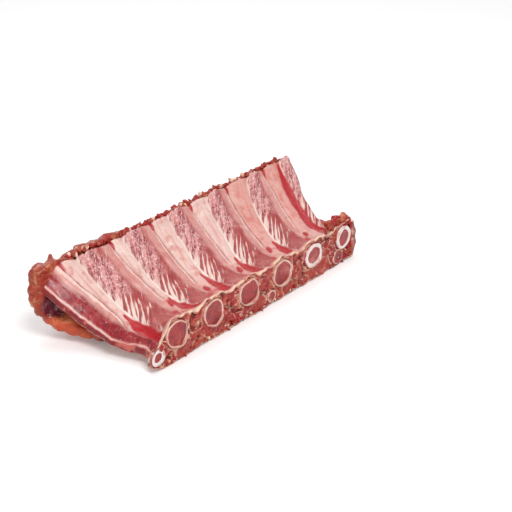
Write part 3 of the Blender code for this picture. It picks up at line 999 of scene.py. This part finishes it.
def make_cover(shape):
    """Outer cover: the body and the corner lumps grown together, then folded and roughened."""
    verts, faces = cover_body()
    parts = [verts]
    work = bmesh.new()
    bmesh.ops.create_icosphere(work, subdivisions=3, radius=1.0)
    ball = np.array([vert.co[:] for vert in work.verts])
    ball_faces = np.array([[vert.index for vert in face.verts] for face in work.faces])
    work.free()
    for centre, radii in COVER_LUMPS:
        faces += (ball_faces + sum(map(len, parts))).tolist()
        parts.append(ball * np.array(radii) + np.array(centre))
    rough = make_object("cover_rough", np.concatenate(parts), faces)
    remesh = rough.modifiers.new("remesh", "REMESH")
    remesh.mode = "VOXEL"
    remesh.voxel_size = shape.voxel
    relax = rough.modifiers.new("relax", "SMOOTH")
    relax.factor = 0.5
    relax.iterations = 6
    piece = harvest(rough, "outer_cover_flesh")
    mesh = piece.data
    points, normals = read_points(mesh), read_points(mesh, "normal")
    local = points / MM + SHIFT
    folds = cloud(local * np.array([0.40, 1.0, 1.0]), 9.0, 31.0, 3)
    crags = cloud(local, 2.6, 32.0, 3)
    tucked = (local[:, 1] < DEPTH - 1.0) * smooth(-72.0, -60.0, local[:, 0])
    calm = 1.0 - 0.7 * smooth(16.0, 12.0, local[:, 2]) * smooth(-60.0, -66.0, local[:, 0])
    amount = (0.6 - 2.0 * np.abs(folds) + 0.4 * crags) * (1.0 - tucked) * calm
    write_points(mesh, points + normals * amount[:, None] * MM)
    mesh.shade_smooth()
    # pocket: where the painted shade of the pocket goes
    add_mask(piece, "pocket", near_ball(local, (-77.0, 77.0, 24.0), (10.0, 9.0, 8.0)))
    add_mask(piece, "flap", near_ball(local, (-75.0, 70.0, 9.0), (13.0, 18.0, 10.0)))
    add_mask(piece, "crease", np.abs(folds))
    mesh.update()
    return piece


# Materials -------------------------------------------------------------------

class Paint:
    """Small helper that adds and joins shader nodes in one tree."""

    def __init__(self, tree):
        self.tree = tree

    def node(self, kind, **settings):
        made = self.tree.nodes.new(kind)
        for key, value in settings.items():
            setattr(made, key, value)
        return made

    def put(self, socket, value):
        if isinstance(value, bpy.types.NodeSocket):
            self.tree.links.new(value, socket)
        else:
            socket.default_value = value

    def math(self, operation, first, second=0.0):
        made = self.node("ShaderNodeMath", operation=operation)
        self.put(made.inputs[0], first)
        self.put(made.inputs[1], second)
        return made.outputs[0]

    def mask(self, name):
        return self.node("ShaderNodeAttribute", attribute_name=name).outputs["Fac"]

    def place(self, name):
        return self.node("ShaderNodeAttribute", attribute_name=name).outputs["Vector"]

    def object_place(self):
        return self.node("ShaderNodeTexCoord").outputs["Object"]

    def scaled(self, vector, scale):
        made = self.node("ShaderNodeMapping")
        self.put(made.inputs["Vector"], vector)
        made.inputs["Scale"].default_value = scale
        return made.outputs[0]

    def noise(self, vector, scale, detail=3.0, rough=0.5, twist=0.0):
        made = self.node("ShaderNodeTexNoise")
        self.put(made.inputs["Vector"], vector)
        made.inputs["Scale"].default_value = scale
        made.inputs["Detail"].default_value = detail
        made.inputs["Roughness"].default_value = rough
        made.inputs["Distortion"].default_value = twist
        return made.outputs["Fac"]

    def step(self, value, low, high):
        made = self.node("ShaderNodeMapRange", interpolation_type="SMOOTHSTEP")
        self.put(made.inputs["Value"], value)
        self.put(made.inputs["From Min"], low)
        self.put(made.inputs["From Max"], high)
        return made.outputs["Result"]

    def mix(self, factor, first, second):
        made = self.node("ShaderNodeMix", data_type="RGBA")
        self.put(made.inputs[0], factor)
        self.put(made.inputs[6], first)
        self.put(made.inputs[7], second)
        return made.outputs[2]

    def blend(self, factor, first, second):
        made = self.node("ShaderNodeMix", data_type="FLOAT")
        self.put(made.inputs[0], factor)
        self.put(made.inputs[2], first)
        self.put(made.inputs[3], second)
        return made.outputs[0]

    def spots(self, vector, scale, low, high, *look):
        """Noise cut into soft-edged spots."""
        return self.step(self.noise(vector, scale, *look), low, high)

    def tinge(self, base, mask, amount, colour):
        """Base colour with a share of another where a mask says."""
        return self.mix(self.math("MULTIPLY", mask, amount), base, colour)


def new_group(name, inputs, outputs):
    """Empty shader group with named sockets."""
    tree = bpy.data.node_groups.new(name, "ShaderNodeTree")
    kinds = {"value": "NodeSocketFloat", "colour": "NodeSocketColor", "vector": "NodeSocketVector"}
    for label, kind in inputs:
        tree.interface.new_socket(label, in_out="INPUT", socket_type=kinds[kind])
    for label, kind in outputs:
        tree.interface.new_socket(label, in_out="OUTPUT", socket_type=kinds[kind])
    paint = Paint(tree)
    return paint, paint.node("NodeGroupInput"), paint.node("NodeGroupOutput")


def wet_group():
    """Moist gloss: uneven roughness and a faint height for bump."""
    paint, inlet, outlet = new_group(
        "wet_gloss",
        (("Place", "vector"), ("Dry", "value"), ("Wet", "value")),
        (("Roughness", "value"), ("Height", "value")))
    place = inlet.outputs["Place"]
    patches = paint.spots(place, 130.0, 0.35, 0.68, 2.0)
    rough = paint.blend(patches, inlet.outputs["Wet"], inlet.outputs["Dry"])
    paint.put(outlet.inputs["Roughness"], rough)
    fine = paint.math("MULTIPLY", paint.noise(place, 900.0, 2.0), 0.35)
    paint.put(outlet.inputs["Height"], paint.math("ADD", paint.noise(place, 260.0, 2.0), fine))
    return outlet.id_data


def mottle_group():
    """Soft drift of a flesh tone to a darker and a lighter one."""
    paint, inlet, outlet = new_group(
        "tone_mottle",
        (("Place", "vector"), ("Colour", "colour"), ("Darker", "colour"), ("Lighter", "colour"),
         ("Amount", "value")),
        (("Colour", "colour"),))
    place, colour, darker, lighter, amount = inlet.outputs[:5]
    shade = paint.tinge(colour, paint.spots(place, 170.0, 0.48, 0.72, 4.0), amount, darker)
    high = paint.spots(place, 95.0, 0.50, 0.75, 4.0, 0.6, 0.6)
    paint.put(outlet.inputs["Colour"], paint.tinge(shade, high, amount, lighter))
    return outlet.id_data


def use_group(paint, tree, **values):
    """Place a shared group in a material and set its inputs by name."""
    made = paint.node("ShaderNodeGroup", node_tree=tree)
    for key, value in values.items():
        paint.put(made.inputs[key], value)
    return made


def new_material(name):
    """Material with its Principled shader and a Paint helper."""
    material = bpy.data.materials.new(name)
    material.use_nodes = True
    return material, material.node_tree.nodes["Principled BSDF"], Paint(material.node_tree)


def finish_flesh(paint, shader, groups, colour, dry, wet, strength=0.35):
    """Connect colour, gloss, faint bump and a little light under the surface."""
    gloss = use_group(paint, groups["wet"], Place=paint.object_place(), Dry=dry, Wet=wet)
    paint.put(shader.inputs["Base Color"], colour)
    paint.put(shader.inputs["Roughness"], gloss.outputs["Roughness"])
    made = paint.node("ShaderNodeBump")
    made.inputs["Strength"].default_value = strength
    made.inputs["Distance"].default_value = 0.6 * MM
    paint.put(made.inputs["Height"], gloss.outputs["Height"])
    paint.put(shader.inputs["Normal"], made.outputs["Normal"])
    shader.inputs["Subsurface Weight"].default_value = 0.12
    shader.inputs["Subsurface Scale"].default_value = 2.0 * MM
    shader.inputs["Subsurface Radius"].default_value = (1.0, 0.35, 0.25)
    shader.inputs["IOR"].default_value = 1.4


def toned(paint, groups, place, colour, darker, lighter, amount):
    """Flesh tone that drifts to a darker and a lighter colour."""
    made = use_group(paint, groups["mottle"], Place=place, Colour=colour, Darker=darker,
                     Lighter=lighter, Amount=amount)
    return made.outputs["Colour"]


def muscle_colour(paint, colours, groups, place):
    """Red muscle with cream flames from the fat line, a wet speckle of painted highlights and shade,
    and pale membrane.
    """
    grain = paint.place("grain")
    broad = paint.noise(paint.scaled(grain, (0.40, 0.045, 1.0)), 1.0, 1.5, 0.5, 0.3)
    thin = paint.noise(paint.scaled(grain, (1.25, 0.085, 1.0)), 1.0, 2.0, 0.5, 0.2)
    near = paint.math("MULTIPLY", paint.step(paint.mask("far"), 0.36, 0.14), 0.10)
    edge = paint.math("ADD", paint.math("MULTIPLY", paint.mask("reach"), 0.28),
                      paint.math("ADD", near, 0.43))
    flames = paint.step(paint.blend(0.22, broad, thin), edge, paint.math("ADD", edge, 0.07))
    red = toned(paint, groups, place, colours.muscle, colours.muscle_dark,
                colours.muscle_pale, 0.8)
    red = paint.tinge(red, paint.step(thin, 0.42, 0.66), 0.26, FIBRE)
    red = paint.tinge(red, paint.step(broad, 0.46, 0.36), 0.8, colours.muscle_dark)
    muscle = paint.tinge(red, flames, 0.80, colours.fat)
    muscle = paint.tinge(muscle, paint.mask("veil"), 0.25, VEIL)
    # Wet speckle: painted shade and painted highlights of the wet bumps over the muscle's purple
    patches = paint.spots(paint.scaled(grain, (0.34, 0.10, 1.0)), 1.0, 0.56, 0.40, 3.0, 0.6, 0.6)
    highlight_dots = paint.spots(paint.scaled(grain, (1.5, 0.55, 1.0)), 1.0, 0.54, 0.61, 2.0, 0.6, 0.9)
    painted_wet_sheen = paint.tinge(paint.mix(patches, WET_PINK, colours.wet_purple_and_shade), highlight_dots, 0.80, colours.glint)
    muscle = paint.tinge(muscle, paint.mask("wet"), 0.9, painted_wet_sheen)
    streaks = paint.scaled(paint.place("lane"), (0.55, 0.045, 1.0))
    membrane = toned(paint, groups, place, colours.membrane, MEMBRANE_DARK, MEMBRANE_PALE, 0.6)
    membrane = paint.tinge(membrane, paint.spots(streaks, 1.0, 0.50, 0.70, 2.0), 0.55, MEMBRANE_RED)
    return paint.tinge(muscle, paint.mask("skin"), 0.75, membrane)


def bare_colour(paint, colours, groups, place):
    """Skin over a bare rib: pale outwards, pinker and stained near the chine."""
    band = toned(paint, groups, place, colours.band, colours.band_warm, colours.band_pale, 0.8)
    streaks = paint.scaled(paint.place("lane"), (0.40, 0.03, 1.0))
    band = paint.tinge(band, paint.spots(streaks, 1.0, 0.50, 0.72, 2.0), 0.6, colours.band_warm)
    near = paint.step(paint.mask("far"), 0.62, 0.16)
    band = paint.tinge(band, near, 0.45, BAND_NEAR)
    band = paint.tinge(band, paint.spots(place, 75.0, 0.50, 0.66, 3.0, 0.6), near, BAND_STAIN)
    return paint.tinge(band, paint.mask("warm"), 0.85, BAND_ORANGE)


def face_colour(paint, colours, groups, place):
    """Sawn chine face: raw meat, brown tissue, dark pits and pale fat seams."""
    lobes = paint.node("ShaderNodeTexVoronoi", feature="DISTANCE_TO_EDGE")
    paint.put(lobes.inputs["Vector"], place)
    lobes.inputs["Scale"].default_value = 115.0
    meat = toned(paint, groups, place, colours.sawn, SAWN_DARK, SAWN_PALE, 1.0)
    seams = paint.math("MULTIPLY", paint.step(lobes.outputs["Distance"], 0.060, 0.015),
                       paint.spots(place, 85.0, 0.50, 0.62, 2.0))
    meat = paint.tinge(meat, seams, 0.75, LOBE_FAT)
    meat = paint.tinge(meat, paint.spots(place, 55.0, 0.50, 0.60, 2.0), 0.55, SAWN_BROWN)
    tissue = toned(paint, groups, place, colours.tissue, TISSUE_DARK, TISSUE_PALE, 0.9)
    sawn = paint.mix(paint.mask("oval"), meat, tissue)
    sawn = paint.tinge(sawn, paint.mask("pit"), 0.9, PIT_RED)
    return paint.tinge(sawn, paint.mask("seam"), 0.68, SEAM_FAT)


def slab_material(colours, groups):
    """Ribs under their skin, marbled muscle, folds in painted shade, blood partly painted as shade,
    painted highlights and the sawn face.
    """
    material, shader, paint = new_material("rib_slab_flesh")
    place = paint.object_place()
    colour = paint.mix(paint.mask("flesh"), bare_colour(paint, colours, groups, place),
                       muscle_colour(paint, colours, groups, place))
    cream = paint.spots(place, 240.0, 0.22, 0.45, 2.0)
    colour = paint.tinge(colour, paint.mask("cream"), cream, colours.fat)
    # Painted highlight on the ridges beside the folds, and the real pale band of the left strip
    ridge = paint.step(paint.math("ADD", paint.mask("ridge"), paint.noise(place, 210.0)),
                       0.95, 1.35)
    colour = paint.tinge(colour, ridge, 0.8, RIDGE_PALE_AND_HIGHLIGHT)
    # Deep red of blood; in the crescent grooves it is painted shade as well
    ragged = paint.math("MULTIPLY", paint.noise(place, 170.0), 0.5)
    blood_and_shade = paint.step(paint.math("ADD", paint.mask("blood_and_shade"), ragged), 0.45, 0.80)
    colour = paint.mix(blood_and_shade, colour, colours.blood_and_shade)
    # Painted shade along the fold at the left of each rib
    colour = paint.tinge(colour, paint.mask("fold"), 0.9, colours.line)
    strip = toned(paint, groups, place, colours.strip, STRIP_DARK, STRIP_PALE, 1.0)
    # Painted highlights on the wet left strip
    glints = paint.spots(place, 420.0, 0.58, 0.70, 3.0, 0.7, 1.0)
    strip = paint.tinge(strip, glints, 0.35, colours.glint)
    colour = paint.mix(paint.mask("strip"), colour, strip)
    brink = paint.spots(place, 95.0, 0.36, 0.52)
    colour = paint.tinge(colour, paint.mask("brink"), brink, BRINK_PALE)
    colour = paint.mix(paint.mask("face"), colour, face_colour(paint, colours, groups, place))
    rim = paint.spots(place, 110.0, 0.42, 0.56)
    colour = paint.tinge(colour, paint.mask("rim"), rim, RIM_FAT)
    for mask, tones, look in (("side", SIDE_TONES, (150.0, 0.52, 0.64)),
                              ("tip", TIP_TONES, (110.0, 0.45, 0.58)),
                              ("under", UNDER_TONES, (60.0, 0.42, 0.6, 4.0, 0.6, 0.5))):
        colour = paint.mix(paint.mask(mask), colour, paint.mix(paint.spots(place, *look), *tones))
    finish_flesh(paint, shader, groups, colour, 0.48, 0.20, 0.25)
    return material


def bone_material(colours, groups, name, ring, wall_colour):
    """Sawn bone: pale outer ring round a red, porous marrow, and skin on its sides."""
    material, shader, paint = new_material(name)
    place = paint.object_place()
    drift = paint.math("SUBTRACT", paint.noise(place, 95.0, 2.0), 0.5)
    radial = paint.math("ADD", paint.mask("radial"), paint.math("MULTIPLY", drift, 0.34))
    marrow = toned(paint, groups, place, colours.marrow, MARROW_DARK, MARROW_PALE, 1.0)
    marrow = paint.tinge(marrow, paint.spots(place, 640.0, 0.50, 0.38, 2.0, 0.6), 0.6, PORE_DARK)
    inner = 0.97 - ring
    bone = toned(paint, groups, place, wall_colour, RING_DARK, RING_PALE, 0.8)
    colour = paint.mix(paint.step(radial, inner - 0.03, inner + 0.03), marrow, bone)
    colour = paint.mix(paint.step(radial, 0.99, 1.05), colour, RING_SKIN)
    finish_flesh(paint, shader, groups, colour, 0.48, 0.24)
    return material


def cover_material(colours, groups):
    """Orange-brown outer meat and fat, wet and uneven, with its raw pocket in painted shade and
    painted highlights.
    """
    material, shader, paint = new_material("outer_cover_flesh")
    place = paint.object_place()
    colour = toned(paint, groups, place, colours.cover, COVER_DARK, COVER_PALE, 1.0)
    fat = paint.spots(paint.scaled(place, (0.5, 1.0, 1.6)), 190.0, 0.56, 0.68, 3.0, 0.6, 0.8)
    colour = paint.tinge(colour, fat, 0.7, COVER_FAT)
    colour = paint.tinge(colour, paint.step(paint.mask("crease"), 0.10, 0.0), 0.55, CREASE_DARK)
    flap = toned(paint, groups, place, colours.flap, FLAP_DARK, FLAP_PALE, 0.8)
    colour = paint.mix(paint.step(paint.mask("flap"), 0.15, 0.50), colour, flap)
    # Raw meat of the pocket in painted shade, dotted with painted highlights
    raw = toned(paint, groups, place, POCKET_SHADE, POCKET_SHADE_DARK, POCKET_SHADE_PALE, 1.0)
    raw = paint.tinge(raw, paint.spots(place, 330.0, 0.56, 0.66, 3.0, 0.6, 1.0), 0.55, POCKET_HIGHLIGHT)
    colour = paint.mix(paint.step(paint.mask("pocket"), 0.16, 0.40), colour, raw)
    finish_flesh(paint, shader, groups, colour, 0.46, 0.18)
    return material


def scrap_material(colours, groups):
    """Torn scraps: orange brown, raw red or pale fat, by each scrap's own tone."""
    material, shader, paint = new_material("torn_scraps")
    place = paint.object_place()
    meat = toned(paint, groups, place, colours.cover, SCRAP_DARK, SCRAP_PALE, 1.0)
    tone = paint.mask("tone")
    colour = paint.mix(paint.step(tone, 0.30, 0.34), colours.sawn, meat)
    colour = paint.mix(paint.step(tone, 0.88, 0.91), colour, SCRAP_FAT)
    finish_flesh(paint, shader, groups, colour, 0.48, 0.24)
    return material


# Stage -----------------------------------------------------------------------

# Camera turn and height in degrees, and where it aims beside and above the chine corner
CAMERA_AZIMUTH = -53.9
CAMERA_ELEVATION = 25.5
AIM_RIGHT = 10.9
AIM_UP = 41.7


def seen_plainly(paint):
    """1 for rays from the camera, off a glossy surface or through a clear one."""
    path = paint.node("ShaderNodeLightPath")
    seen = paint.math("MAXIMUM", path.outputs["Is Camera Ray"], path.outputs["Is Glossy Ray"])
    return paint.math("MAXIMUM", seen, path.outputs["Is Transmission Ray"])


def floor_material():
    """Pale floor that keeps the shadow and shows white to the camera and in reflections."""
    material, shader, paint = new_material("floor_white")
    shader.inputs["Base Color"].default_value = (0.92, 0.92, 0.92, 1.0)
    shader.inputs["Roughness"].default_value = 0.9
    shader.inputs["Emission Color"].default_value = WHITE
    glow = paint.math("MULTIPLY", seen_plainly(paint), 0.16)
    paint.put(shader.inputs["Emission Strength"], glow)
    return material


def aim(place, target):
    """Rotation that looks from place to target."""
    return (Vector(target) - Vector(place)).to_track_quat("-Z", "Y").to_euler()


def add_lamp(name, place, size, energy):
    """White square lamp aimed at the rack."""
    light = bpy.data.lights.new(name, "AREA")
    light.size = size
    light.energy = energy
    lamp = bpy.data.objects.new(name, light)
    lamp.location = place
    lamp.rotation_euler = aim(place, (0.0, 0.0, 0.02))
    bpy.context.scene.collection.objects.link(lamp)


def make_stage(settings):
    """Floor, lamps, world and camera."""
    scene = bpy.context.scene
    mesh = bpy.data.meshes.new("floor")
    mesh.from_pydata([(-4, -4, 0), (4, -4, 0), (4, 4, 0), (-4, 4, 0)], [], [(0, 1, 2, 3)])
    floor = bpy.data.objects.new("floor", mesh)
    scene.collection.objects.link(floor)
    floor.data.materials.append(floor_material())
    add_lamp("key", (-0.55, -0.75, 1.15), 0.6, settings.key)
    add_lamp("top", (0.3, 0.35, 1.3), 1.0, settings.top)
    world = bpy.data.worlds.new("studio")
    world.use_nodes = True
    paint = Paint(world.node_tree)
    background = world.node_tree.nodes["Background"]
    strength = paint.blend(seen_plainly(paint), settings.fill, 1.0)
    paint.put(background.inputs["Strength"], strength)
    background.inputs["Color"].default_value = WHITE
    scene.world = world
    scene.view_settings.view_transform = "Standard"

    azimuth = math.radians(CAMERA_AZIMUTH)
    elevation = math.radians(CAMERA_ELEVATION)
    back = Vector((math.sin(azimuth) * math.cos(elevation),
                   -math.cos(azimuth) * math.cos(elevation), math.sin(elevation)))
    right = Vector((math.cos(azimuth), math.sin(azimuth), 0.0))
    up = back.cross(right)
    corner = Vector(-SHIFT * MM)
    camera_data = bpy.data.cameras.new("camera")
    camera_data.sensor_width = 36.0
    camera_data.lens = settings.lens
    camera = bpy.data.objects.new("camera", camera_data)
    camera.location = corner + back * settings.distance
    target = corner + right * AIM_RIGHT * MM + up * AIM_UP * MM
    camera.rotation_euler = aim(camera.location, target)
    scene.collection.objects.link(camera)
    scene.camera = camera


# Operators and panel ---------------------------------------------------------

def shared_groups():
    """Shader groups used by every flesh material, built once."""
    known = bpy.data.node_groups
    return {"wet": known.get("wet_gloss") or wet_group(),
            "mottle": known.get("tone_mottle") or mottle_group()}


def give(piece, slot, *nodes):
    """Tie a finished piece to the frame, in place of the solids that it finishes."""
    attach(piece, "root")
    if nodes:
        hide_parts(*nodes)


class RIBS_OT_slab(bpy.types.Operator):
    """Build the slab of rib meat with its muscles, skin and sawn chine face."""

    bl_idname = "ribs.slab"
    bl_label = "Build rib meat"

    def execute(self, context):
        scene = context.scene
        slab = make_slab(scene.ribs_shape)
        slab.data.materials.append(slab_material(scene.ribs_colours, shared_groups()))
        give(slab, "meat", "rib_meat")
        return {"FINISHED"}


class RIBS_OT_bones(bpy.types.Operator):
    """Build the ribs, their sawn heads and the small chine bones."""

    bl_idname = "ribs.bones"
    bl_label = "Build bones"

    def execute(self, context):
        for node, bone in make_bones(context.scene.ribs_colours, shared_groups()):
            give(bone, "bone", node)
        return {"FINISHED"}


class RIBS_OT_cover(bpy.types.Operator):
    """Build the outer cover that rolls up past the rib tips."""

    bl_idname = "ribs.cover"
    bl_label = "Build outer cover"

    def execute(self, context):
        scene = context.scene
        cover = make_cover(scene.ribs_shape)
        cover.data.materials.clear()
        cover.data.materials.append(cover_material(scene.ribs_colours, shared_groups()))
        give(cover, "cover", "outer_cover")
        return {"FINISHED"}


class RIBS_OT_scraps(bpy.types.Operator):
    """Strew torn scraps along the chine, the rib tips and the right corner."""

    bl_idname = "ribs.scraps"
    bl_label = "Strew torn scraps"

    def execute(self, context):
        scene = context.scene
        material = scrap_material(scene.ribs_colours, shared_groups())
        for piece in make_scraps(scene.ribs_shape, material):
            give(piece, "meat")
        return {"FINISHED"}


class RIBS_OT_stage(bpy.types.Operator):
    """Set the floor, the lamps and the camera."""

    bl_idname = "ribs.stage"
    bl_label = "Set the stage"

    def execute(self, context):
        make_stage(context.scene.ribs_stage)
        return {"FINISHED"}


class RIBS_PT_panel(bpy.types.Panel):
    """Sidebar panel with the rack's settings and steps."""

    bl_label = "Rack of ribs"
    bl_idname = "RIBS_PT_panel"
    bl_space_type = "VIEW_3D"
    bl_region_type = "UI"
    bl_category = "Ribs"

    def draw(self, context):
        layout = self.layout
        scene = context.scene
        for settings in (scene.ribs_shape, scene.ribs_colours, scene.ribs_stage):
            box = layout.box()
            for name in settings.__annotations__:
                box.prop(settings, name)
        for step in STEPS:
            layout.operator(step.bl_idname)


STEPS = (RIBS_OT_slab, RIBS_OT_bones, RIBS_OT_cover, RIBS_OT_scraps, RIBS_OT_stage)
CLASSES = (RibsShape, RibsColours, RibsStage, *STEPS, RIBS_PT_panel)


def register():
    for item in CLASSES:
        bpy.utils.register_class(item)
    bpy.types.Scene.ribs_shape = PointerProperty(type=RibsShape)
    bpy.types.Scene.ribs_colours = PointerProperty(type=RibsColours)
    bpy.types.Scene.ribs_stage = PointerProperty(type=RibsStage)


def unregister():
    del bpy.types.Scene.ribs_stage
    del bpy.types.Scene.ribs_colours
    del bpy.types.Scene.ribs_shape
    for item in reversed(CLASSES):
        bpy.utils.unregister_class(item)


def main():
    register()
    bpy.ops.ribs.slab()
    bpy.ops.ribs.bones()
    bpy.ops.ribs.cover()
    bpy.ops.ribs.scraps()
    bpy.ops.ribs.stage()


if __name__ == "__main__":
    main()
